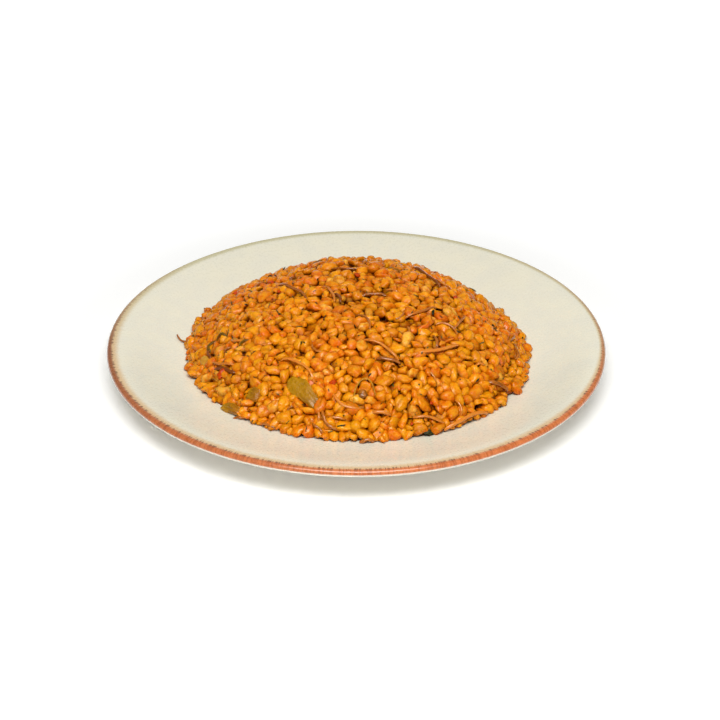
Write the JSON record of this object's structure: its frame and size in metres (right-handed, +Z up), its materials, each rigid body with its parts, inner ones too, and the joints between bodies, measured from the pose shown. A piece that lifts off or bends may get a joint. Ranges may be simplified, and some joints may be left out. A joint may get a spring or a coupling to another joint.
{
  "type": "plate of bulgur pilaf",
  "caption": "Round coupe plate with a brown-edged cream glaze, carrying a domed heap of tomato-red bulgur pilaf with browned vermicelli and cuts of green pepper.",
  "frame": {"origin": "centre of the plate's foot ring, on the plane it rests on", "axes": "+Z up out of the plate, -Y towards the diner, +X to the diner's right"},
  "size_m": [0.2598, 0.2598, 0.0474],
  "materials": {
    "glaze": "semi-gloss cream glaze, rusty brown where it breaks over the rim",
    "bulgur": "cooked grain, moist and lightly oiled",
    "pepper": "cooked skin, moist"
  },
  "bodies": {
    "root": {"plate": "glaze", "pilaf": "bulgur", "pepper_strip": "pepper", "pepper_square": "pepper", "pepper_end": "pepper"}
  },
  "joints": []
}
